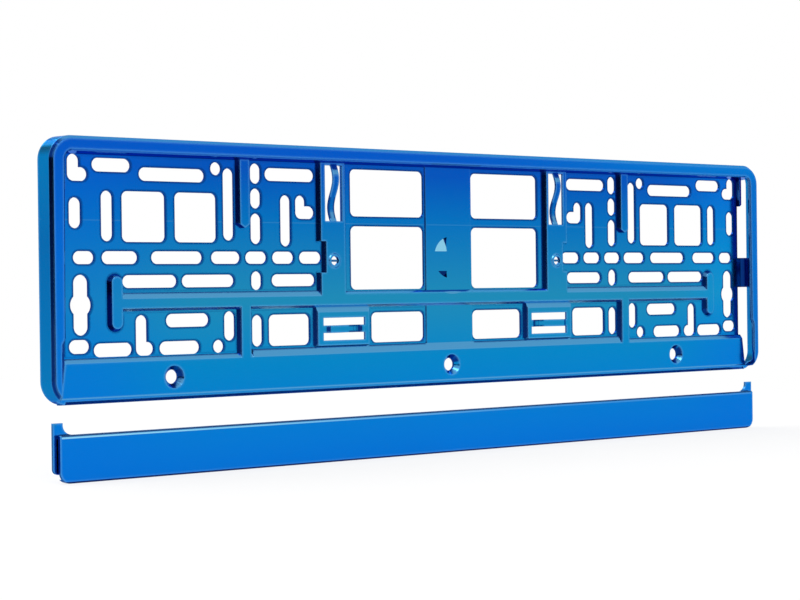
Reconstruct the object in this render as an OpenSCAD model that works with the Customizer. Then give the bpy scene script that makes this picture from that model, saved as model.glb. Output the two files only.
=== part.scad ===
// Number plate holder: a moulded surround with a screwed ledge, and the cover strip that clips
// over the ledge, shown taken off below it. Millimetres. X runs along the holder, Z is up and
// the front faces -Y. Heights are measured from the line of screws, and y = 0 is the back face.

/* [Overall] */
// Width over the flange of the side walls
holder_w = 533; // [520:1:560]
// Height of the top of the surround above the screw line
top_z = 124; // [118:1:135]
// Height of the bottom edge, below the screw line
bottom_z = -12; // [-16:0.5:-11]
// Outer corner radius
corner_r = 12.5; // [10:0.5:18]
// Wall of the plain panel
panel_t = 1.5; // [1.2:0.1:2.2]
// Wall of the surround
wall = 2; // [1.5:0.1:2.6]

/* [Surround] */
// Depth of the surround, back face to lip face
rim_d = 10.8; // [9:0.2:14]
// Depth of the side walls up to where the bead begins
foot_d = 8.6; // [6:0.2:8.8]
// How far the foot of the side walls flares out at the back
flare = 1.7; // [1:0.1:4]
// Width of the lip at the sides, from the outside of the bead
lip_w = 8.3; // [6:0.1:10]
// Width of the lip along the top
top_lip_w = 7.8; // [6:0.1:10]
// Slope of the bead, from the side wall in to the lip face
bead_slope = 1.3; // [0.6:0.1:2]
// Small bevel between the bead's slope and the lip face
bead_bevel = 0.3; // [0.2:0.1:0.6]
// Bevel on the inner edge of the lip
lip_bevel = 1; // [0.4:0.1:1.6]
// How much narrower the side lips get towards the ledge
lip_taper = 0.8; // [0:0.1:1.2]
// How much narrower the side lips are beside the ledge
lip_notch = 1.6; // [0.4:0.1:2]

/* [Panel] */
// Width of the flat panel
panel_w = 507.6; // [500:0.2:510]
// Depth of the raised fields, back face to their face
raised_d = 4.2; // [3.4:0.1:5]
// Wall behind the raised fields
raised_t = 1.5; // [1.2:0.1:2]
// Inset of a raised field's sides from its foot to its face
draft = 1.6; // [0.4:0.1:2]
// Height of the raised centre column
column_h = 0.8; // [0.7:0.1:1]
// Width of the centre column
column_w = 35; // [30:0.5:35.5]

/* [Ledge] */
// Height of the ledge face's top edge above the screw line
ledge_top = 8.8; // [7.4:0.2:10]
// Length of the sloping top of the ledge
ledge_slope = 2.4; // [0.5:0.1:2.6]
// Height of the wider slope above the ledge, between the two ribs
ledge_mid_slope = 4.2; // [2.6:0.1:5]
// Length of the ledge face along its top edge
ledge_w = 508.4; // [500:0.2:510]
// How much further each end reaches at the bottom edge
ledge_splay = 3.4; // [0:0.1:4]
// Distance between neighbouring screw holes
screw_pitch = 190.4; // [150:0.1:200]
// Screw hole diameter
screw_d = 7.5; // [5:0.1:8]
// Diameter of the countersink at the ledge face
sink_d = 12; // [9:0.5:14]
// Depth of the countersink
sink_h = 2.6; // [1:0.1:3]

/* [Openings] */
// Width of the slots in the panel
slot_w = 7; // [5:0.1:8]
// Width of the two horizontal rows of slots at the middle
row_slot_w = 6.6; // [5:0.1:7.5]
// Corner radius of the windows
window_r = 3.2; // [1:0.1:5]
// Diameter of the keyhole's round middle
keyhole_d = 12.4; // [9:0.1:14]
// Width of the keyhole's slot
keyhole_w = 8.6; // [6:0.1:9]

/* [Springs] */
// Width of the spring tongues that stand upright
tongue_w = 4; // [3:0.1:5]
// Thickness of the spring tongues
tongue_t = 1.3; // [1:0.1:1.6]
// Sway of the upright tongues to either side of their field
tongue_sway = 2.5; // [1:0.1:2.6]
// Height of the spring tongues that lie across
bar_h = 4.2; // [3:0.1:5]
// Sway of the tongues that lie across
bar_sway = 1.9; // [1:0.1:2.4]

/* [Cover strip] */
// Height of the strip
strip_h = 24.5; // [22:0.5:28]
// Length of the strip
strip_w = 520; // [508:1:522]
// Depth from the back face of the holder to the strip's face
strip_d = 8; // [7.4:0.1:8.4]
// How far the strip hangs below its seat
strip_drop = 38.6; // [38:0.1:80]
// Radius of the strip's bottom corners
strip_r = 6; // [2:0.5:9]
// Width of the tab at each end of the strip
tab_w = 5.6; // [4:0.1:8]
// How far the tab stands above the strip
tab_rise = 6; // [3:0.5:10]
// Radius of the fillet between tab and strip
tab_fillet = 5; // [2:0.5:6]

/* [Hidden] */
$fn = 48;
eps = 0.01;
// How far forms run into their neighbours and cutters past the faces that they cut, and the same
// where there is less room
lap = 1;
thin_lap = 0.6;

// Heights of the rows of openings above the screw line
row_top = 110.2;
row_upper = 106.1;
row_c = 62.6;
row_d = 50.2;
row_key = 38.4;
row_mid = 29.5;
row_base = 15.1;

// Slots that lie across, mirrored about the centre: [centre x, centre z, length, width]
LYING = [
    [225.1, row_top, 22.9, slot_w],
    [161.3, row_top, slot_w, slot_w],
    [188.6, row_upper, 40.6, slot_w],
    [113.0, row_upper + 2, 33.4, slot_w],
    [241.8, row_c, 12.3, row_slot_w],
    [220.6, row_c, 21.5, row_slot_w],
    [186.1, row_c, 31.8, row_slot_w],
    [155.5, row_c, 18.8, row_slot_w],
    [135.9, row_c, 14.2, row_slot_w],
    [118.0, row_c, 14.6, row_slot_w],
    [99.6, row_c, 15.3, row_slot_w],
    [202.8, row_d, 33.2, row_slot_w],
    [166.8, row_d, 33.2, row_slot_w],
    [111.1, row_d, 29.5, row_slot_w],
    [180.0, row_mid, 26.9, slot_w],
    [244.8, row_base + 2.1, 12, slot_w],
    [225.2, row_base, 22.8, slot_w],
    [185.1, row_base, 25.0, slot_w],
    [160.8, row_base, slot_w, slot_w]
];
// Slots that stand upright: [centre x, low z, high z]
STANDING = [
    [246.5, 77.5, 93.2],
    [228.0, 71, 97],
    [153.5, 71.8, 110.6],
    [135.8, 102.8, 113.8],
    [135.8, 89.3, 100.2],
    [135.8, 70, 86.6],
    [135.8, 45, 55.2],
    [135.6, 14.3, 31.4],
    [116.1, 68.8, 97],
    [153.6, 18, 33.8]
];
// Slots with a foot: [centre x of the upright, foot's end x, low z, high z]
FOOTED = [
    [247.2, 239.0, 101.6, 115.3],
    [106.0, 96.4, 84.1, 97],
    [208.3, 201.0, 11.6, 32.7]
];
// Windows: [low x, high x, low z, high z]
WINDOWS = [
    [193.0, 219.3, 70.7, 97],
    [161.1, 187.4, 70.7, 97],
    [18.2, 71.5, 86, 112.6],
    [18.2, 71.5, 44.6, 80.4],
    [100.5, 128.1, 14.3, 31.4],
    [18.5, 57.3, 14.3, 31.4]
];
// The keyhole's place and its length
KEYHOLE = [243.7, row_key, 31];

// Raised fields: bar_z holds the foot of the long bar and bar_face_z its flat face. Between the
// two towers the face and the foot end at the heights in bar_mid_z instead
bar_z = [34.8, 44.4];
bar_face_z = [36.3, 41.3];
bar_mid_z = [42.6, 43.8];
boss_x = 224;
boss_w = 9.4;
boss_z = [24.3, 54.4];
rib_x = [140, 149.2];
rib_tip_z = 78.6;
rib_end_z = 81.6;
tower_x = [75.7, 95.5];
tower_notch_x = 92;
tower_notch_z = [54.3, 71.8];
block_x = [59.3, 98.3];
block_z = [13.6, 36];
block_slope = 3.8;
// Share of a field's height that its lower and upper sides stand straight
knee_share = 0.4;
// Inset of the centre column's sides from its foot to its face
column_draft = 0.4;

// The ledge: its slanted ends start end_rise above its top edge. Along the bottom runs a bead,
// whose face starts, ends and slopes back to the ledge face at these heights above the bottom
end_rise = 4;
low_bead_z = [1.8, 2.8, 3.4];
low_bead_h = 0.3;
low_bevel = 1.3;
// Behind the ledge stand ribs, some of them in line with the screws, and a boss round each screw
pockets_per_pitch = 6;
pockets_each_side = 8;
ledge_rib_t = 1.8;
pocket_draft = 0.3;
screw_boss_wall = 2;

// Spring tongues and the small eye below the upright one
tongue_x = 84.9;
tongue_hole_w = 12.1;
tongue_z = [83, 114.2];
bar_x = [63.8, 93];
bar_hole_z = [16.4, 29];
// How the tongues wave: [share of the length, share of the sway]
wave_steps = 28;
UPRIGHT_WAVE = [for (i = [0 : wave_steps]) [i / wave_steps, sin(360 * i / wave_steps)]];
LYING_WAVE = [[0, 0], [0.05, 0.08], [0.08, 0.25], [0.15, 0.95], [0.18, 1.05], [0.25, 1], [0.4, 0.45],
    [0.5, 0], [0.62, -0.55], [0.76, -1], [0.83, -1.05], [0.86, -0.95], [0.93, -0.25], [0.96, -0.08],
    [1, 0]];
eye_z = 60.9;
eye_d = 5.2;
eye_ring_d = 8.4;
eye_ring_h = 0.5;
eye_bar = 1.3;
eye_bar_set = 0.2;

// The round dish in the centre column: a bowl, and the flat pad with its two slopes on the left
dish_x = 1.2;
dish_z = 62.8;
dish_r = 12.2;
bowl_deep = 0.9;
dish_deep = 1.8;
pad_deep = 0.1;
pad_x = -1.4;
pad_z = [54.9, 66.4];
bowl_steps = 180;

// Places that follow from the sizes: the bead's outer face, the top lip's lower edge, the panel's
// side, where the raised fields end at the top, how far they and the panel run on into the pocket's
// top wall, and where the panel starts behind the ledge
bead_x = holder_w / 2 - flare;
lip_in_z = top_z - top_lip_w;
panel_x = panel_w / 2;
top_field_z = lip_in_z - 1.2;
field_top_z = top_field_z + thin_lap;
panel_top_z = top_field_z + 0.7;
panel_low_z = bottom_z + 8;

// The surround's corners: their steps, and the angle that the two lower ones turn before they end
corner_steps = 20;
wrap_angle = 80;

// The side lips narrow over notch_h below notch_z, and in front of the ledge they are cleared
// away up to a line between these two places
notch_z = 21.8;
notch_h = 3;
cut_x = [258.6, 260.2];

// The wall along the top of the plate's pocket: its distance from the bead's side, how far it
// runs into the lip, and how far above the lip's edge
pocket_end = 3.4;
pocket_lap = 0.5;
pocket_rise = 0.2;

// What ties the panel to the side walls: a bridge and a gusset
tie_z = [43, 62.6];
bridge_d = 6.4;
bridge_flat = 3;
gusset_z = 97;
gusset_w = 2.4;
gusset_bevel = 1;
gusset_lean = 0.4;

// The strip's wall, its flanges and bevels, the layer that its end tabs lie in and the webs that
// join them to the strip
strip_t = 2;
top_flange = 3;
low_flange = 4.5;
top_bevel = 0.8;
strip_bevel = 1;
tab_d = 4.8;
tab_t = 1.6;
tab_out = 2.4;
tab_foot = 4.6;
web_lap = 0.3;
web_set = 0.5;
// Where the strip would sit on the ledge, and where it is shown
seat_gap = 0.6;
strip_z = bottom_z - seat_gap - strip_drop;

module both() {
    children();
    mirror([1, 0, 0]) children();
}

// Takes a shape drawn in X and Z and gives it a depth from y0 at the back to y1 at the front
module slab(y0, y1) {
    translate([0, y0, 0]) rotate([90, 0, 0]) linear_extrude(y0 - y1) children();
}

// A section drawn in Y and Z, run along X
module run_x(x0, x1) {
    translate([x0, 0, 0]) rotate([90, 0, 90]) linear_extrude(x1 - x0) children();
}

// A raised field with sloping sides: x and z are its foot, s the insets of its left, right, lower
// and upper side. The lower and upper sides run straight up to the knee before they slope.
module field(x, z, y0, y1, s) {
    knee = y0 + (y1 - y0) * knee_share;
    intersection() {
        translate([0, 0, z[0] - eps]) linear_extrude(z[1] - z[0] + 2 * eps)
            polygon([[x[0], y0], [x[1], y0], [x[1] - s[1], y1], [x[0] + s[0], y1]]);
        run_x(x[0] - eps, x[1] + eps)
            polygon([[y0, z[0]], [y0, z[1]], [knee, z[1]], [y1, z[1] - s[3]], [y1, z[0] + s[2]],
                [knee, z[0]]]);
    }
}

// An upright raised field with round ends
module round_field(x, w, z, y0, y1, s) {
    r = w / 2;
    field([x - r, x + r], [z[0] + r, z[1] - r], y0, y1, [s, s, 0, 0]);
    for (end_z = [z[0] + r, z[1] - r])
        translate([x, y0, end_z]) rotate([90, 0, 0]) cylinder(h = y0 - y1, r1 = r, r2 = r - s);
}

module round_slot(x, z, length, width) {
    r = width / 2;
    reach = length / 2 - r;
    for (side = [-1, 1])
        translate([x + side * reach, z]) circle(r);
    if (reach > 0)
        translate([x - reach, z - r]) square([2 * reach, width]);
}

module upright_slot(x, z0, z1, width) {
    r = width / 2;
    for (end_z = [z0 + r, z1 - r])
        translate([x, end_z]) circle(r);
    translate([x - r, z0 + r]) square([width, z1 - z0 - width]);
}

module rounded_rect(x0, x1, z0, z1, r) {
    translate([x0 + r, z0]) square([x1 - x0 - 2 * r, z1 - z0]);
    translate([x0, z0 + r]) square([x1 - x0, z1 - z0 - 2 * r]);
    for (x = [x0 + r, x1 - r], z = [z0 + r, z1 - r])
        translate([x, z]) circle(r);
}

module openings() {
    for (s = LYING)
        round_slot(s[0], s[1], s[2], s[3]);
    for (s = STANDING)
        upright_slot(s[0], s[1], s[2], slot_w);
    for (s = FOOTED) {
        r = slot_w / 2;
        upright_slot(s[0], s[2], s[3], slot_w);
        round_slot((s[0] + r + s[1]) / 2, s[2] + r, s[0] + r - s[1], slot_w);
    }
    for (w = WINDOWS)
        rounded_rect(w[0], w[1], w[2], w[3], window_r);
    translate([KEYHOLE[0], KEYHOLE[1]]) circle(d = keyhole_d);
    upright_slot(KEYHOLE[0], KEYHOLE[1] - KEYHOLE[2] / 2, KEYHOLE[1] + KEYHOLE[2] / 2, keyhole_w);
}

// The raised fields of one half, drawn solid from y0 to y1 and shrunk by cut all round
module raised_half(y0, y1, cut) {
    s = draft;
    tower_low = bar_face_z[0] + lap;
    tower_mid = (tower_x[0] + tower_notch_x) / 2;
    round_field(boss_x, boss_w - 2 * cut, [boss_z[0] + cut, boss_z[1] - cut], y0, y1, s);
    field([tower_x[0] + cut, tower_notch_x - cut], [tower_low + cut, field_top_z - cut], y0, y1,
        [s, s, 0, 0]);
    for (z = [[tower_low, tower_notch_z[0]], [tower_notch_z[1], field_top_z]])
        field([tower_mid, tower_x[1] - cut], [z[0] + cut, z[1] - cut], y0, y1, [0, s, 0, 0]);
    field([block_x[0] + cut, block_x[1] - cut], [block_z[0] + cut, block_z[1] - cut], y0, y1,
        [s, s, 0, block_slope]);
    field([rib_x[0] + cut, rib_x[1] - cut], [ledge_top + cut, bar_z[0] + 2 * lap - cut], y0, y1,
        [s, s, 0, 0]);
    intersection() {
        field([rib_x[0] + cut, rib_x[1] - cut], [rib_tip_z, field_top_z - cut], y0, y1, [s, s, 0, 0]);
        slab(y0 + eps, y1 - eps)
            polygon([[rib_x[0], rib_end_z + cut], [(rib_x[0] + rib_x[1]) / 2, rib_tip_z + cut],
                [rib_x[1], rib_end_z + cut], [rib_x[1], top_z], [rib_x[0], top_z]]);
    }
}

module raised(y0, y1, cut) {
    low = bar_face_z[0] - bar_z[0];
    mid = tower_x[0] + draft + cut;
    field([-mid, mid], [bar_z[0] + cut, bar_mid_z[1] - cut], y0, y1,
        [0, 0, low, bar_mid_z[1] - bar_mid_z[0]]);
    both() {
        field([mid - lap, boss_x], [bar_z[0] + cut, bar_z[1] - cut], y0, y1,
            [0, 0, low, bar_z[1] - bar_face_z[1]]);
        raised_half(y0, y1, cut);
    }
}

module ledge_face() {
    end_top = ledge_w / 2;
    end_low = end_top + ledge_splay;
    high = ledge_top + end_rise;
    low = bottom_z - lap;
    polygon([[end_top, high], [end_low, low], [-end_low, low], [-end_top, high]]);
}

module ledge() {
    f = -raised_d;
    bead = f - low_bead_h;
    knee = -panel_t + (f + panel_t) * knee_share;
    intersection() {
        run_x(-holder_w / 2, holder_w / 2)
            polygon([[0, ledge_top + ledge_slope], [knee, ledge_top + ledge_slope], [f, ledge_top],
                [f, bottom_z + low_bead_z[2]], [bead, bottom_z + low_bead_z[1]],
                [bead, bottom_z + low_bead_z[0]], [f + low_bevel, bottom_z], [0, bottom_z]]);
        slab(0, f - lap) ledge_face();
    }
    run_x(-rib_x[0], rib_x[0])
        polygon([[0, ledge_top + ledge_mid_slope], [knee, ledge_top + ledge_mid_slope], [f, ledge_top],
            [f, ledge_top - lap], [0, ledge_top - lap]]);
}

module ledge_pockets() {
    rib_pitch = screw_pitch / pockets_per_pitch;
    s = pocket_draft;
    for (i = [-pockets_each_side : pockets_each_side - 1]) {
        x0 = i * rib_pitch + ledge_rib_t / 2;
        x1 = (i + 1) * rib_pitch - ledge_rib_t / 2;
        field([x0, x1], [bottom_z + raised_t, ledge_top], lap, raised_t - raised_d, [s, s, s, s]);
    }
}

module screw_bosses() {
    for (i = [-1, 0, 1])
        translate([i * screw_pitch, 0, 0]) rotate([90, 0, 0])
            cylinder(h = raised_d - lap, d = sink_d + 2 * screw_boss_wall);
}

module screw_holes() {
    for (i = [-1, 0, 1])
        translate([i * screw_pitch, 0, 0]) rotate([90, 0, 0]) {
            translate([0, 0, -lap]) cylinder(h = raised_d + 2 * lap, d = screw_d);
            translate([0, 0, raised_d - sink_h])
                cylinder(h = sink_h + eps, d1 = screw_d, d2 = sink_d + eps);
        }
}

module panel() {
    difference() {
        union() {
            slab(0, -panel_t) translate([-panel_x, panel_low_z])
                square([panel_w, panel_top_z - panel_low_z]);
            raised(-panel_t + eps, -raised_d, 0);
            field([-column_w / 2, column_w / 2], [ledge_top, field_top_z], -panel_t, -panel_t - column_h,
                [column_draft, column_draft, 0, 0]);
            ledge();
            both() translate([tongue_x, -raised_d, eye_z]) rotate([90, 0, 0])
                cylinder(h = eye_ring_h, d1 = eye_ring_d, d2 = eye_ring_d - 2 * eye_ring_h);
        }
        raised(lap, raised_t - raised_d, raised_t);
        ledge_pockets();
    }
}

// A strip that waves to both sides of y = mid, drawn in the plane of its wave
module wave(u0, u1, mid, sway, shape) {
    function at(p) = u0 + (u1 - u0) * p[0];
    n = len(shape);
    polygon(concat(
        [for (p = shape) [at(p), mid + sway * p[1] - tongue_t / 2]],
        [for (i = [n - 1 : -1 : 0]) [at(shape[i]), mid + sway * shape[i][1] + tongue_t / 2]]));
}

module spring_tongues() {
    mid = -raised_d + tongue_t / 2;
    translate([tongue_x - tongue_w / 2, 0, 0]) rotate([90, 0, 90]) linear_extrude(tongue_w)
        rotate(90) mirror([0, 1])
            wave(tongue_z[0] - thin_lap, tongue_z[1] + thin_lap, mid, tongue_sway, UPRIGHT_WAVE);
    translate([0, 0, (bar_hole_z[0] + bar_hole_z[1] - bar_h) / 2]) linear_extrude(bar_h)
        wave(bar_x[0] - thin_lap, bar_x[1] + thin_lap, mid, bar_sway, LYING_WAVE);
}

// A shallow bowl. Its left part is a flat pad just under the surface, from which one slope falls
// away upwards and one downwards, out to the edge of the circle.
module dish() {
    face = -panel_t - column_h;
    floor_y = face + dish_deep;
    pad_y = face + pad_deep;
    sphere_r = (dish_r * dish_r + bowl_deep * bowl_deep) / (2 * bowl_deep);
    difference() {
        translate([dish_x, face - sphere_r + bowl_deep, dish_z]) sphere(sphere_r, $fn = bowl_steps);
        slab(lap, face - lap) translate([pad_x - 2 * dish_r, dish_z - dish_r]) square(2 * dish_r);
    }
    intersection() {
        translate([dish_x, floor_y, dish_z]) rotate([90, 0, 0]) cylinder(h = dish_deep + lap, r = dish_r);
        run_x(pad_x - 2 * dish_r, pad_x)
            polygon([[face - lap, dish_z - dish_r], [floor_y, dish_z - dish_r], [pad_y, pad_z[0]],
                [pad_y, pad_z[1]], [floor_y, dish_z + dish_r], [face - lap, dish_z + dish_r]]);
    }
}

module holder_frame() {
    color("royalblue") {
        difference() {
            union() {
                panel();
                screw_bosses();
                rim();
                pocket_top();
                both() side_ties();
            }
            slab(lap, -raised_d - lap) both() openings();
            both() slab(lap, -raised_d - lap) {
                translate([tongue_x - tongue_hole_w / 2, tongue_z[0]])
                    square([tongue_hole_w, tongue_z[1] - tongue_z[0]]);
                translate([bar_x[0], bar_hole_z[0]])
                    square([bar_x[1] - bar_x[0], bar_hole_z[1] - bar_hole_z[0]]);
                translate([tongue_x, eye_z]) circle(d = eye_d);
            }
            screw_holes();
            dish();
            lip_cut();
        }
        both() {
            spring_tongues();
            slab(raised_t - raised_d, eye_bar_set - raised_d)
                translate([tongue_x - eye_d / 2 - thin_lap, eye_z - eye_bar / 2])
                    square([eye_d + 2 * thin_lap, eye_bar]);
        }
    }
}

// The surround is one section swept round three sides and the two lower corners. Each station of
// the path is [x, z, angle of the outward normal]; its straights are the runs between corners.
function corner(cx, cz, a0, a1) =
    [for (i = [0 : corner_steps]) let (a = a0 + (a1 - a0) * i / corner_steps)
        [cx + corner_r * cos(a), cz + corner_r * sin(a), a]];

function rim_path() =
    let (cx = bead_x - corner_r, low = bottom_z + corner_r, high = top_z - corner_r)
    concat(corner(cx, low, -wrap_angle, 0),
        [[bead_x, notch_z - notch_h, 0], [bead_x, notch_z, 0]],
        corner(cx, high, 0, 90), corner(-cx, high, 90, 180),
        [[-bead_x, notch_z, 180], [-bead_x, notch_z - notch_h, 180]],
        corner(-cx, low, 180, 180 + wrap_angle));

// Each point of the section is [inset from the bead's outer face, depth, share of the flare]
function rim_section(lip) = [
    [0, 0, 1], [0, -foot_d, 0], [bead_slope, -rim_d + bead_bevel, 0], [bead_slope + bead_bevel, -rim_d, 0],
    [lip - lip_bevel, -rim_d, 0], [lip, -rim_d + lip_bevel, 0], [lip, -rim_d + wall, 0],
    [wall + bead_slope, -rim_d + wall, 0], [wall, -foot_d + wall, 0], [wall, 0, 1]
];

// Width of the lip at a station: it tapers down the sides, and steps in beside the ledge
function lip_at(p) =
    let (step = p[1] < notch_z - notch_h / 2 ? lip_notch : 0)
    p[1] > notch_z ? lip_w * pow(cos(p[2]), 2) + top_lip_w * pow(sin(p[2]), 2)
    : lip_w - lip_taper - step;

function rim_ring(p) =
    [for (q = rim_section(lip_at(p)))
        [p[0] - q[0] * cos(p[2]) + sign(p[0]) * flare * q[2], q[1], p[1] - q[0] * sin(p[2])]];

module rim() {
    path = rim_path();
    n = len(rim_section(lip_w));
    last = (len(path) - 1) * n;
    cap = [[0, 1, 8, 9], [1, 2, 7, 8], [2, 3, 4, 5, 6, 7]];
    polyhedron(
        points = [for (p = path) each rim_ring(p)],
        faces = concat(
            [for (f = cap) [for (i = [len(f) - 1 : -1 : 0]) f[i]]],
            [for (f = cap) [for (i = f) last + i]],
            [for (k = [0 : len(path) - 2], i = [0 : n - 1])
                [k * n + i, k * n + (i + 1) % n, (k + 1) * n + (i + 1) % n, (k + 1) * n + i]]));
}

// Clears the lip away in front of the ledge and its bead, up to a slanted line at each end
module lip_cut() {
    low = bottom_z - lap;
    slab(-raised_d - low_bead_h, -rim_d - lap)
        polygon([[cut_x[0], ledge_top], [cut_x[1], low], [-cut_x[1], low], [-cut_x[0], ledge_top]]);
}

// The wall between the lip's lower edge and the panel, along the top of the plate's pocket
module pocket_top() {
    front = -rim_d + wall - pocket_lap;
    front_z = lip_in_z + pocket_rise;
    run_x(pocket_end - bead_x, bead_x - pocket_end)
        polygon([[front, front_z], [0, top_field_z], [0, top_field_z + panel_t], [front, front_z + panel_t]]);
}

// What ties the panel to the side walls: a bridge half way up and a gusset below the top corner
module side_ties() {
    back = panel_x - lap;
    seat = wall / 2;
    gusset_x = panel_x + gusset_w;
    past_x = gusset_x + gusset_bevel / 2;
    translate([0, 0, tie_z[0]]) linear_extrude(tie_z[1] - tie_z[0])
        polygon([[back, 0], [holder_w / 2 - seat, 0],
            [bead_x - seat + flare * (1 - bridge_d / foot_d), -bridge_d],
            [panel_x + bridge_flat, -panel_t], [back, -panel_t]]);
    intersection() {
        translate([0, 0, gusset_z]) linear_extrude(top_field_z + lap - gusset_z)
            polygon([[back, 0], [gusset_x, 0], [gusset_x, gusset_bevel - raised_d],
                [gusset_x - gusset_bevel, -raised_d], [panel_x - gusset_lean, -raised_d], [back, -panel_t]]);
        slab(lap, -raised_d - lap)
            polygon([[back - lap, gusset_z - lap], [panel_x, gusset_z], [past_x, gusset_z + gusset_w],
                [past_x, top_z], [back - lap, top_z]]);
    }
}

module tab_shape(top) {
    x0 = strip_w / 2 + tab_out - tab_w;
    r = tab_w / 2;
    translate([x0, strip_z + tab_foot + r]) square([tab_w, strip_h + tab_rise - tab_foot - r]);
    translate([x0 + r, strip_z + tab_foot + r]) circle(r);
    difference() {
        translate([x0 - tab_fillet, top - eps]) square([tab_fillet + eps, tab_fillet]);
        translate([x0 - tab_fillet, top + tab_fillet]) circle(tab_fillet);
    }
}

module clip_strip() {
    half = strip_w / 2;
    top = strip_z + strip_h;
    face = -strip_d;
    web_x = half + tab_out - tab_w - tab_fillet;
    color("dodgerblue") {
        intersection() {
            run_x(-half, half)
                polygon([[face, strip_z + strip_bevel], [face, top - top_bevel], [face + top_bevel, top],
                    [face + top_flange, top],
                    [face + top_flange, top - strip_t], [face + strip_t, top - strip_t],
                    [face + strip_t, strip_z + strip_t], [face + low_flange, strip_z + strip_t],
                    [face + low_flange, strip_z], [face + strip_bevel, strip_z]]);
            slab(lap, face - lap) {
                rounded_rect(-half, half, strip_z, top - strip_r, strip_r);
                translate([-half, strip_z + strip_r]) square([strip_w, strip_h]);
            }
        }
        both() {
            slab(-tab_d + tab_t, -tab_d) tab_shape(top);
            slab(-tab_d + tab_t, face + strip_t - web_lap)
                translate([web_x, strip_z + tab_foot + tab_w])
                    square([tab_fillet + tab_t, strip_h - tab_foot - tab_w - web_set]);
        }
    }
}

holder_frame();
clip_strip();
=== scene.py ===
import bpy
from mathutils import Matrix, Vector


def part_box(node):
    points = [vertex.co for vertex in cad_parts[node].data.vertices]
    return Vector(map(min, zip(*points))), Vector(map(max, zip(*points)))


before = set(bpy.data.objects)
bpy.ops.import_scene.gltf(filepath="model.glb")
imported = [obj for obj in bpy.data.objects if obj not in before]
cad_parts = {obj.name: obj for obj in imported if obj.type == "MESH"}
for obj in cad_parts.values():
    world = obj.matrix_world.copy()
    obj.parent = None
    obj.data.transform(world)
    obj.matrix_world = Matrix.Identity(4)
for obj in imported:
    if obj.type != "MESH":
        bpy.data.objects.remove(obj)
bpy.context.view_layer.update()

# The photograph's camera, solved from the mirrored slots of the panel. Metres throughout
CAMERA_AT = Vector((-0.7189, -0.8576, 0.0454))
CAMERA_LOOKS = Vector((0.62339, 0.78189, -0.00652))
CAMERA_ROLL = -0.01204
LENS_MM = 85.5
SENSOR_MM = 36.0
CLIP = (0.05, 50.0)

# Lamps: [name, place, size, watts]; both face LAMPS_FACE
LAMPS = [
    ["key", (-0.8, -1.6, 2.2), (1.6, 1.0), 20],
    ["top", (-0.7, 1.0, 1.7), (2.0, 1.2), 24],
]
LAMPS_FACE = Vector((0, 0, 0.05))

# The world: white where one of these directions says so, and an unlit room elsewhere
WORLD_LIGHT = 0.7
WHITE = (1.0, 1.0, 1.0)
ROOM = (0.015, 0.015, 0.02)
ROOM_ENDS_BEHIND_Y = (0.0, 0.12)
ROOM_ENDS_AHEAD_Y = (-0.72, -0.64)
ROOM_ENDS_RIGHT_X = (0.0, 0.25)
ROOM_ENDS_ABOVE_Z = (0.12, 0.3)

# The floor lies under the strip. It shows some shadow near the object and none further off
FLOOR_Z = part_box("clip_strip")[0][2]
FLOOR_REACH = 6.0
FLOOR_WHITE = (0.9, 0.9, 0.9)
FLOOR_GLOW_FROM = (0.35, 1.1)
FLOOR_GLOW_NEAR = 0.8

# Tones that drift with height: [millimetres above the screw line, colour]. The drift, and the tones that
# differ between the panel, its ends, the lip and the side walls, are painted reflection on the blue
PANEL_TONES = [(-50, (0.0, 0.175, 0.7)), (5, (0.0, 0.24, 0.58)), (40, (0.012, 0.26, 0.48)),
               (84, (0.0, 0.165, 0.52)), (110, (0.0, 0.09, 0.5))]
LEFT_END_TONES = [(-50, (0.0, 0.165, 0.7)), (5, (0.0, 0.17, 0.7)), (40, (0.0, 0.19, 0.62)),
                  (110, (0.0, 0.12, 0.64))]
RIGHT_END_TONES = [(-50, (0.0, 0.165, 0.7)), (5, (0.0, 0.185, 0.7)), (40, (0.0, 0.31, 0.71)),
                   (70, (0.0, 0.29, 0.73)), (110, (0.0, 0.19, 0.77))]
LIP_TONES = [(-12, (0.0, 0.18, 0.65)), (70, (0.0, 0.14, 0.64)), (124, (0.0, 0.095, 0.57))]
RIGHT_LIP_TONES = [(-12, (0.0, 0.16, 0.58)), (112, (0.0, 0.165, 0.58)), (124, (0.0, 0.24, 0.7))]
SIDE_WALL_TONES = [(-12, (0.0, 0.19, 0.49)), (70, (0.0, 0.145, 0.43)), (115, (0.0, 0.19, 0.49))]

# Painted shade, painted reflection and painted highlight tones of single places, from dark to light
DARK_SHADE = (0.0, 0.012, 0.09)
WALL_SHADE_BLUE = (0.0, 0.026, 0.18)
HOLE_SHADE_BLUE = (0.0, 0.036, 0.2)
LEANING_SHADE_BLUE = (0.0, 0.035, 0.24)
STEEP_SHADE_BLUE = (0.0, 0.06, 0.34)
CORNER_SHADE_BLUE = (0.012, 0.085, 0.17)
SKY_REFLECTION_BLUE = (0.09, 0.32, 0.57)
GLEAM = (0.1, 0.38, 0.75)
BRIGHT_HIGHLIGHT = (0.4, 0.85, 1.0)

# Soft steps between the parts of the holder, as [where a step starts, where it ends]
ENDS_X = (0.17, 0.25)
MIDDLE_X = (-0.1, 0.1)
RIGHT_LIP_X = (-0.05, 0.25)
LIP_Y = (-0.0095, -0.0075)
BEAD_Y = (-0.0088, -0.0084)
SIDE_WALL_X = (0.2600, 0.2606)
HOLDER_Z = (-0.0240, -0.0200)
COLUMN_X = (0.0178, 0.0192)
LOW_Y = (-0.0034, -0.0030)
PLATE_Z = (-0.0105, 0.117)
PLATE_Z_SOFT = 0.0005

# Soft steps in the way that a surface faces, as parts of its normal, which place the painted shade and
# painted sky reflection
CORNER_UP = (0.1, 0.5)
SIDEWAYS = (0.3, 0.5)
LEANING = (0.12, 0.3)
STEEP = (0.48, 0.6)
LEVEL = (0.62, 0.8)
SLOPING = (0.12, 0.22)
FRONTAL = (0.15, 0.4)
BAR_FOOT_DOWN = (0.25, 0.4)
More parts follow.
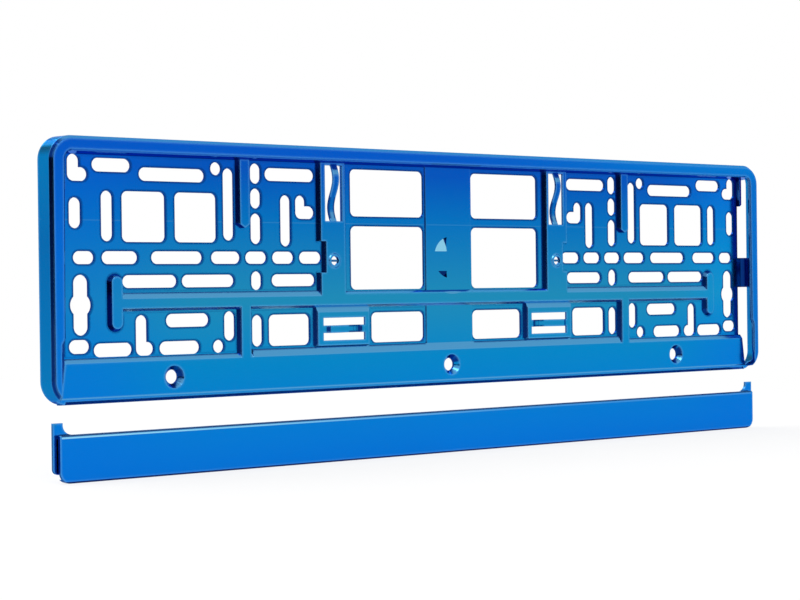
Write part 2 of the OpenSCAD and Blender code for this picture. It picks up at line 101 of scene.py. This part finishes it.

# Shares of the painted reflection, shade and highlight tones laid over one another
ENDS_SHARE = 0.6
RIGHT_LIP_SHARE = 0.75
PLATE_LESS_DARK = 0.88
SKY_SHARE = 0.8
SEAM_SHARE = 0.3
SHADE_KEPT_OFF_SKY = 0.8
OUTLINE_SHARE = 0.95
GLEAM_SHARE = 0.6
DISH_LIGHT_SHARE = 0.65
DISH_DARK_SHARE = 0.75
BAR_FOOT_SHARE = 0.85
COLUMN_EDGE_SHARE = 0.35
STRIP_SIDE_SHARE = 0.8

# The height of the parting line that gets a painted highlight, half its width as a soft step, and the depth
# that has it
SEAM_Z = 0.0818
SEAM_HALF = (0.0001, 0.0003)
SEAM_Y = (-0.0026, -0.0024)

# Painted crease shade, and painted outlines and gleams at edges: how far they reach, how closed or how bent
# they are, and how open an edge is
CREASE_REACH = 0.0025
CREASE_SAMPLES = 8
CREASE_OPEN = (0.15, 0.62)
EDGE_REACH = 0.0019
EDGE_SAMPLES = 6
OUTLINE_BEND = (0.0005, 0.006)
OUTLINE_OPEN = (0.72, 0.9)
GLEAM_BEND = (0.01, 0.06)
GLEAM_OPEN = (0.55, 0.85)

# Small places with painted highlights or painted shade: [low, high] of each direction, and how soft their
# edges are
DISH_REACH = (0.0160, 0.0165)
DISH_Z = (0.046, 0.074)
DISH_SOFT = 0.0005
BAR_FOOT_Z = (0.0346, 0.0365)
BAR_FOOT_SOFT = 0.0002
COLUMN_EDGE_X = (0.0171, 0.0175)
COLUMN_EDGE_Y = (-0.0024, -0.0014)
COLUMN_EDGE_Z = (0.012, 0.115)
COLUMN_EDGE_SOFT = (0.0003, 0.0001, 0.001)
EYE_WEB_X = (0.0824, 0.0874)
EYE_WEB_Z = (0.0602, 0.0616)
EYE_WEB_SOFT = 0.0001
STRIP_ENDS_X = (0.2588, 0.2594)
STRIP_EDGE_Z = (-0.0274, -0.0266)
STRIP_EDGE_SOFT = 0.0003
STRIP_LINE_Z = (-0.0284, -0.0278)
STRIP_LINE_SOFT = 0.0002
STRIP_LINE_X = (-0.25, 0.1)
STRIP_LINE_LEFT = 0.75
STRIP_LINE_LOSES = 0.65

# The moulded skin
ROUNDED_EDGE = 0.0004
ROUNDED_SAMPLES = 4
GRAIN_SCALE = 700.0
GRAIN_DETAIL = 3.0
SWIRL_SCALE = 22.0
SWIRL_DETAIL = 2.0
ROUGH_FROM, ROUGH_TO = 0.13, 0.22
GRAIN_STRENGTH = 0.06
GRAIN_DEPTH = 0.0002
COAT = 0.06
COAT_ROUGH = 0.05
SHEEN_TINT = (0.3, 0.5, 0.9)


class Graph:
    """Adds shader nodes to one tree. A value is a number, a colour or a socket."""

    def __init__(self, tree):
        tree.nodes.clear()
        self.tree = tree

    def feed(self, socket, value):
        if isinstance(value, bpy.types.NodeSocket):
            self.tree.links.new(value, socket)
        elif isinstance(value, tuple):
            socket.default_value = (*value, 1)
        else:
            socket.default_value = value

    def add(self, kind, inputs=None):
        """Adds one node and feeds the inputs named."""
        n = self.tree.nodes.new(kind)
        for name, value in (inputs or {}).items():
            self.feed(n.inputs[name], value)
        return n

    def math(self, operation, *values):
        n = self.tree.nodes.new("ShaderNodeMath")
        n.operation = operation
        for socket, value in zip(n.inputs, values):
            self.feed(socket, value)
        return n.outputs[0]

    def times(self, first, *others):
        for other in others:
            first = self.math("MULTIPLY", first, other)
        return first

    def without(self, share):
        return self.math("SUBTRACT", 1.0, share)

    def most(self, first, *others):
        for other in others:
            first = self.math("MAXIMUM", first, other)
        return first

    def above(self, source, step):
        """0 up to the step's start, 1 from its end on and smooth in between."""
        n = self.add("ShaderNodeMapRange", {"From Min": step[0], "From Max": step[1], "Value": source})
        n.interpolation_type = "SMOOTHSTEP"
        return n.outputs["Result"]

    def within(self, source, ends, soft):
        """1 between the two ends and 0 beyond a soft edge on either side."""
        low, high = ends
        begun = self.above(source, (low - soft, low))
        return self.math("SUBTRACT", begun, self.above(source, (high, high + soft)))

    def mix(self, share, first, second):
        """A mix of two colours."""
        n = self.tree.nodes.new("ShaderNodeMix")
        n.data_type = "RGBA"
        factor, colour_a, colour_b = n.inputs[0], n.inputs[6], n.inputs[7]
        for socket, value in ((factor, share), (colour_a, first), (colour_b, second)):
            self.feed(socket, value)
        return n.outputs[2]

    def mix_shaders(self, share, first, second):
        n = self.tree.nodes.new("ShaderNodeMixShader")
        for socket, value in zip(n.inputs, (share, first.outputs[0], second.outputs[0])):
            self.feed(socket, value)
        return n.outputs[0]

    def split(self, vector):
        return self.add("ShaderNodeSeparateXYZ", {"Vector": vector}).outputs

    def drift(self, z, tones):
        """A colour that drifts with height through the tones."""
        low, high = tones[0][0], tones[-1][0]
        above_low = self.math("SUBTRACT", self.math("MULTIPLY", z, 1000.0), low)
        n = self.add("ShaderNodeValToRGB", {"Fac": self.math("DIVIDE", above_low, high - low)})
        marks = n.color_ramp.elements
        marks[0].color = (*tones[0][1], 1)
        marks[1].color = (*tones[-1][1], 1)
        for mm, colour in tones[1:-1]:
            marks.new((mm - low) / (high - low)).color = (*colour, 1)
        return n.outputs["Color"]


class SkinWithPaintedLight(Graph):
    """The metallised blue skin with its painted light and shade: where a point lies, which way it faces,
    and its tone so far.
    """

    def __init__(self, tree):
        super().__init__(tree)
        self.geometry = self.add("ShaderNodeNewGeometry").outputs
        self.place = self.add("ShaderNodeTexCoord").outputs["Object"]
        self.x, self.y, self.z = self.split(self.place)
        self.reach = self.math("ABSOLUTE", self.x)
        normal_x, normal_y, self.up = self.split(self.geometry["Normal"])
        self.sideways = self.math("ABSOLUTE", normal_x)
        self.frontal = self.math("ABSOLUTE", normal_y)
        self.down = self.math("MULTIPLY", self.up, -1.0)

        self.holder = self.above(self.z, HOLDER_Z)
        self.strip = self.without(self.holder)
        self.off_bead = self.above(self.y, BEAD_Y)
        self.side_wall = self.times(self.above(self.reach, SIDE_WALL_X), self.off_bead, self.holder)
        self.off_side_wall = self.without(self.side_wall)
        self.off_column = self.above(self.reach, COLUMN_X)
        self.plate = self.within(self.z, PLATE_Z, PLATE_Z_SOFT)
        self.low = self.times(self.above(self.y, LOW_Y), self.plate, self.off_side_wall)
        self.tone = None

    def paint(self, share, colour):
        """Lays a colour over the tone."""
        self.tone = self.mix(share, self.tone, colour)

    def paint_large_forms(self):
        """Painted reflection: the hue drifts with height, and the lip, the panel and the side walls each
        have their own; upward corners of the side walls get painted shade.
        """
        ends = self.mix(self.above(self.x, MIDDLE_X), self.drift(self.z, LEFT_END_TONES),
                        self.drift(self.z, RIGHT_END_TONES))
        panel = self.mix(self.times(self.above(self.reach, ENDS_X), ENDS_SHARE),
                         self.drift(self.z, PANEL_TONES), ends)
        lip = self.mix(self.times(self.above(self.x, RIGHT_LIP_X), RIGHT_LIP_SHARE),
                       self.drift(self.z, LIP_TONES), self.drift(self.z, RIGHT_LIP_TONES))
        self.tone = self.mix(self.above(self.y, LIP_Y), lip, panel)
        self.paint(self.side_wall, self.drift(self.z, SIDE_WALL_TONES))
        # Painted shade on the side walls' corners that face up
        flat_up = self.split(self.geometry["True Normal"])[2]
        self.paint(self.times(self.side_wall, self.above(flat_up, CORNER_UP)), CORNER_SHADE_BLUE)

    def paint_wall_shade_and_sky_reflection(self):
        """Painted shade on walls that face sideways or down and on the walls of the holes, and a painted
        sky reflection on slopes that face up.
        """
        walls = self.times(self.above(self.sideways, SIDEWAYS), self.off_side_wall)
        self.paint(self.times(walls, self.off_column), WALL_SHADE_BLUE)
        on_plate = self.times(self.plate, self.off_column)
        under = self.times(self.off_side_wall, self.math("MULTIPLY_ADD", on_plate, -PLATE_LESS_DARK, 1.0))
        self.paint(self.times(self.above(self.down, LEANING), under), LEANING_SHADE_BLUE)
        self.paint(self.times(self.above(self.down, STEEP), under), STEEP_SHADE_BLUE)
        # Painted reflection of the sky on slopes that face up
        sky = self.most(self.above(self.up, LEVEL), self.times(self.above(self.up, SLOPING), self.off_bead))
        sky = self.times(sky, self.off_side_wall, SKY_SHARE)
        self.paint(sky, SKY_REFLECTION_BLUE)
        # Painted shade on the walls of the holes
        hole_walls = self.times(self.low, self.without(self.above(self.frontal, FRONTAL)))
        self.paint(hole_walls, HOLE_SHADE_BLUE)
        self.walls, self.sky = walls, sky

    def paint_seam_highlight(self):
        """A painted highlight along the faint parting line that the mould leaves across the panel."""
        from_seam = self.math("ABSOLUTE", self.math("SUBTRACT", self.z, SEAM_Z))
        seam_highlight = self.without(self.above(from_seam, SEAM_HALF))
        self.paint(self.times(seam_highlight, self.above(self.y, SEAM_Y), SEAM_SHARE), SKY_REFLECTION_BLUE)

    def paint_crease_and_outline_shade(self):
        """Painted shade in the creases, and in a thin outline round each opening of the panel."""
        crease = self.add("ShaderNodeAmbientOcclusion", {"Distance": CREASE_REACH})
        crease.samples = CREASE_SAMPLES
        self.open_air = crease.outputs["AO"]
        closed = self.without(self.above(self.open_air, CREASE_OPEN))
        self.paint(self.times(closed, self.without(self.times(self.sky, SHADE_KEPT_OFF_SKY))), DARK_SHADE)

        rounded = self.add("ShaderNodeBevel", {"Radius": EDGE_REACH})
        rounded.samples = EDGE_SAMPLES
        turn = self.tree.nodes.new("ShaderNodeVectorMath")
        turn.operation = "DOT_PRODUCT"
        self.feed(turn.inputs[0], rounded.outputs["Normal"])
        self.feed(turn.inputs[1], self.geometry["True Normal"])
        self.bend = self.without(turn.outputs["Value"])
        outline = self.times(self.above(self.bend, OUTLINE_BEND), self.above(self.open_air, OUTLINE_OPEN),
                             self.low, self.off_column, OUTLINE_SHARE)
        self.paint(outline, HOLE_SHADE_BLUE)

    def paint_detail_light_and_shade(self):
        """Painted highlight and shade on the dish's slopes, painted highlights at the foot of the bar and
        on the column's edges, and painted shade on the webs in the two eyes.
        """
        dish = self.times(self.without(self.above(self.reach, DISH_REACH)),
                          self.within(self.z, DISH_Z, DISH_SOFT))
        self.paint(self.times(dish, self.above(self.up, SLOPING), DISH_LIGHT_SHARE), BRIGHT_HIGHLIGHT)
        self.paint(self.times(dish, self.above(self.down, SLOPING), DISH_DARK_SHARE), DARK_SHADE)
        bar_foot_highlight = self.times(self.above(self.down, BAR_FOOT_DOWN),
                              self.within(self.z, BAR_FOOT_Z, BAR_FOOT_SOFT), BAR_FOOT_SHARE)
        self.paint(bar_foot_highlight, BRIGHT_HIGHLIGHT)
        soft_x, soft_y, soft_z = COLUMN_EDGE_SOFT
        column_edge_highlight = self.times(self.within(self.reach, COLUMN_EDGE_X, soft_x),
                                 self.within(self.y, COLUMN_EDGE_Y, soft_y),
                                 self.within(self.z, COLUMN_EDGE_Z, soft_z), COLUMN_EDGE_SHARE)
        self.paint(column_edge_highlight, GLEAM)
        eye_web_shade = self.times(self.within(self.reach, EYE_WEB_X, EYE_WEB_SOFT),
                             self.within(self.z, EYE_WEB_Z, EYE_WEB_SOFT))
        self.paint(eye_web_shade, DARK_SHADE)

    def paint_strip_light_and_shade(self):
        """Painted shade on the strip's sides and top edge, with a painted highlight line below that fades
        to the right.
        """
        self.paint(self.times(self.walls, self.strip, STRIP_SIDE_SHARE), DARK_SHADE)
        between_tabs = self.times(self.strip, self.without(self.above(self.reach, STRIP_ENDS_X)))
        fades = self.times(self.above(self.x, STRIP_LINE_X), STRIP_LINE_LOSES)
        line = self.times(between_tabs, self.within(self.z, STRIP_LINE_Z, STRIP_LINE_SOFT),
                          self.math("SUBTRACT", STRIP_LINE_LEFT, fades))
        self.paint(line, BRIGHT_HIGHLIGHT)
        self.paint(self.times(between_tabs, self.within(self.z, STRIP_EDGE_Z, STRIP_EDGE_SOFT)), DARK_SHADE)

    def paint_gleams(self):
        """Painted highlights make the raised edges gleam; those of the low panel don't."""
        gleam = self.times(self.above(self.bend, GLEAM_BEND), self.above(self.open_air, GLEAM_OPEN),
                           self.without(self.low), GLEAM_SHARE)
        self.paint(gleam, GLEAM)

    def finish(self):
        """Rounds the raised edges and gives the skin its grain and uneven gloss."""
        edge = self.add("ShaderNodeBevel", {"Radius": self.times(self.without(self.low), ROUNDED_EDGE)})
        edge.samples = ROUNDED_SAMPLES
        grain = self.add("ShaderNodeTexNoise",
                         {"Scale": GRAIN_SCALE, "Detail": GRAIN_DETAIL, "Vector": self.place})
        swirl = self.add("ShaderNodeTexNoise",
                         {"Scale": SWIRL_SCALE, "Detail": SWIRL_DETAIL, "Vector": self.place})
        rough = self.add("ShaderNodeMapRange",
                         {"To Min": ROUGH_FROM, "To Max": ROUGH_TO, "Value": swirl.outputs["Fac"]})
        bump = self.add("ShaderNodeBump", {
            "Strength": GRAIN_STRENGTH, "Distance": GRAIN_DEPTH,
            "Height": grain.outputs["Fac"], "Normal": edge.outputs["Normal"]})
        shader = self.add("ShaderNodeBsdfPrincipled", {
            "Base Color": self.tone, "Metallic": 1.0, "Roughness": rough.outputs["Result"],
            "Coat Weight": COAT, "Coat Roughness": COAT_ROUGH, "Specular Tint": SHEEN_TINT,
            "Normal": bump.outputs["Normal"]})
        self.add("ShaderNodeOutputMaterial", {"Surface": shader.outputs[0]})


def new_material(name):
    mat = bpy.data.materials.new(name)
    mat.use_nodes = True
    return mat


def blue_plastic(name):
    """Glossy metallised blue with painted shade on steep walls and in creases and painted highlights on
    raised edges; the skin is a little uneven, as on a real moulding."""
    mat = new_material(name)
    skin = SkinWithPaintedLight(mat.node_tree)
    skin.paint_large_forms()
    skin.paint_wall_shade_and_sky_reflection()
    skin.paint_seam_highlight()
    skin.paint_crease_and_outline_shade()
    skin.paint_detail_light_and_shade()
    skin.paint_strip_light_and_shade()
    skin.paint_gleams()
    skin.finish()
    return mat


def dress(name, mat):
    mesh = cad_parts[name].data
    mesh.materials.clear()
    mesh.materials.append(mat)
    for poly in mesh.polygons:
        poly.material_index = 0


def to_scene(name, data):
    thing = bpy.data.objects.new(name, data)
    bpy.context.scene.collection.objects.link(thing)
    return thing


def make_lamps():
    for name, place, size, watts in LAMPS:
        data = bpy.data.lights.new(name, "AREA")
        data.shape = "RECTANGLE"
        data.size, data.size_y = size
        data.energy = watts
        lamp = to_scene(name, data)
        lamp.location = place
        lamp.rotation_euler = (LAMPS_FACE - Vector(place)).to_track_quat("-Z", "Y").to_euler()


def seen_directly(graph, path):
    """1 on camera, glossy and transmission rays, 0 on the rest."""
    return graph.most(path["Is Camera Ray"], path["Is Glossy Ray"], path["Is Transmission Ray"])


def make_world():
    """White to the camera, and in reflections white ahead, behind, above and on the right. The room
    in front on the left is unlit, and only reflections show that."""
    world = bpy.data.worlds.new("studio")
    bpy.context.scene.world = world
    world.use_nodes = True
    graph = Graph(world.node_tree)
    path = graph.add("ShaderNodeLightPath").outputs
    x, y, z = graph.split(graph.add("ShaderNodeTexCoord").outputs["Generated"])
    lit = graph.most(graph.above(y, ROOM_ENDS_BEHIND_Y), graph.without(graph.above(y, ROOM_ENDS_AHEAD_Y)),
                     graph.above(x, ROOM_ENDS_RIGHT_X), graph.above(z, ROOM_ENDS_ABOVE_Z))
    colour = graph.mix(graph.most(path["Is Camera Ray"], lit), ROOM, WHITE)
    shown = graph.add("ShaderNodeBackground", {"Color": colour, "Strength": 1.0})
    lights = graph.add("ShaderNodeBackground", {"Color": WHITE, "Strength": WORLD_LIGHT})
    surface = graph.mix_shaders(seen_directly(graph, path), lights, shown)
    graph.add("ShaderNodeOutputWorld", {"Surface": surface})


def make_floor():
    """A white floor that keeps a faint shadow near the object and melts into the world further off."""
    mesh = bpy.data.meshes.new("floor")
    r = FLOOR_REACH
    corners = [(-r, -r, FLOOR_Z), (r, -r, FLOOR_Z), (r, r, FLOOR_Z), (-r, r, FLOOR_Z)]
    mesh.from_pydata(corners, [], [(0, 1, 2, 3)])
    floor = to_scene("floor", mesh)
    mat = new_material("floor_white")
    graph = Graph(mat.node_tree)
    matte = graph.add("ShaderNodeBsdfDiffuse", {"Color": FLOOR_WHITE})
    glow = graph.add("ShaderNodeEmission", {"Color": WHITE, "Strength": 1.0})
    distance = graph.tree.nodes.new("ShaderNodeVectorMath")
    distance.operation = "LENGTH"
    graph.feed(distance.inputs[0], graph.add("ShaderNodeTexCoord").outputs["Object"])
    far = graph.above(distance.outputs["Value"], FLOOR_GLOW_FROM)
    glows = graph.math("MULTIPLY_ADD", far, 1.0 - FLOOR_GLOW_NEAR, FLOOR_GLOW_NEAR)
    path = graph.add("ShaderNodeLightPath").outputs
    surface = graph.mix_shaders(graph.times(seen_directly(graph, path), glows), matte, glow)
    graph.add("ShaderNodeOutputMaterial", {"Surface": surface})
    mesh.materials.append(mat)


def make_camera():
    data = bpy.data.cameras.new("camera")
    data.sensor_fit = "HORIZONTAL"
    data.sensor_width = SENSOR_MM
    data.lens = LENS_MM
    data.clip_start, data.clip_end = CLIP
    cam = to_scene("camera", data)
    turn = CAMERA_LOOKS.to_track_quat("-Z", "Y").to_matrix().to_4x4()
    cam.matrix_world = Matrix.Translation(CAMERA_AT) @ turn @ Matrix.Rotation(CAMERA_ROLL, 4, "Z")
    bpy.context.scene.camera = cam


make_camera()
make_world()
make_floor()
dress("holder_frame", blue_plastic("holder_blue"))
dress("clip_strip", blue_plastic("strip_blue"))
make_lamps()
bpy.context.scene.view_settings.view_transform = "Standard"
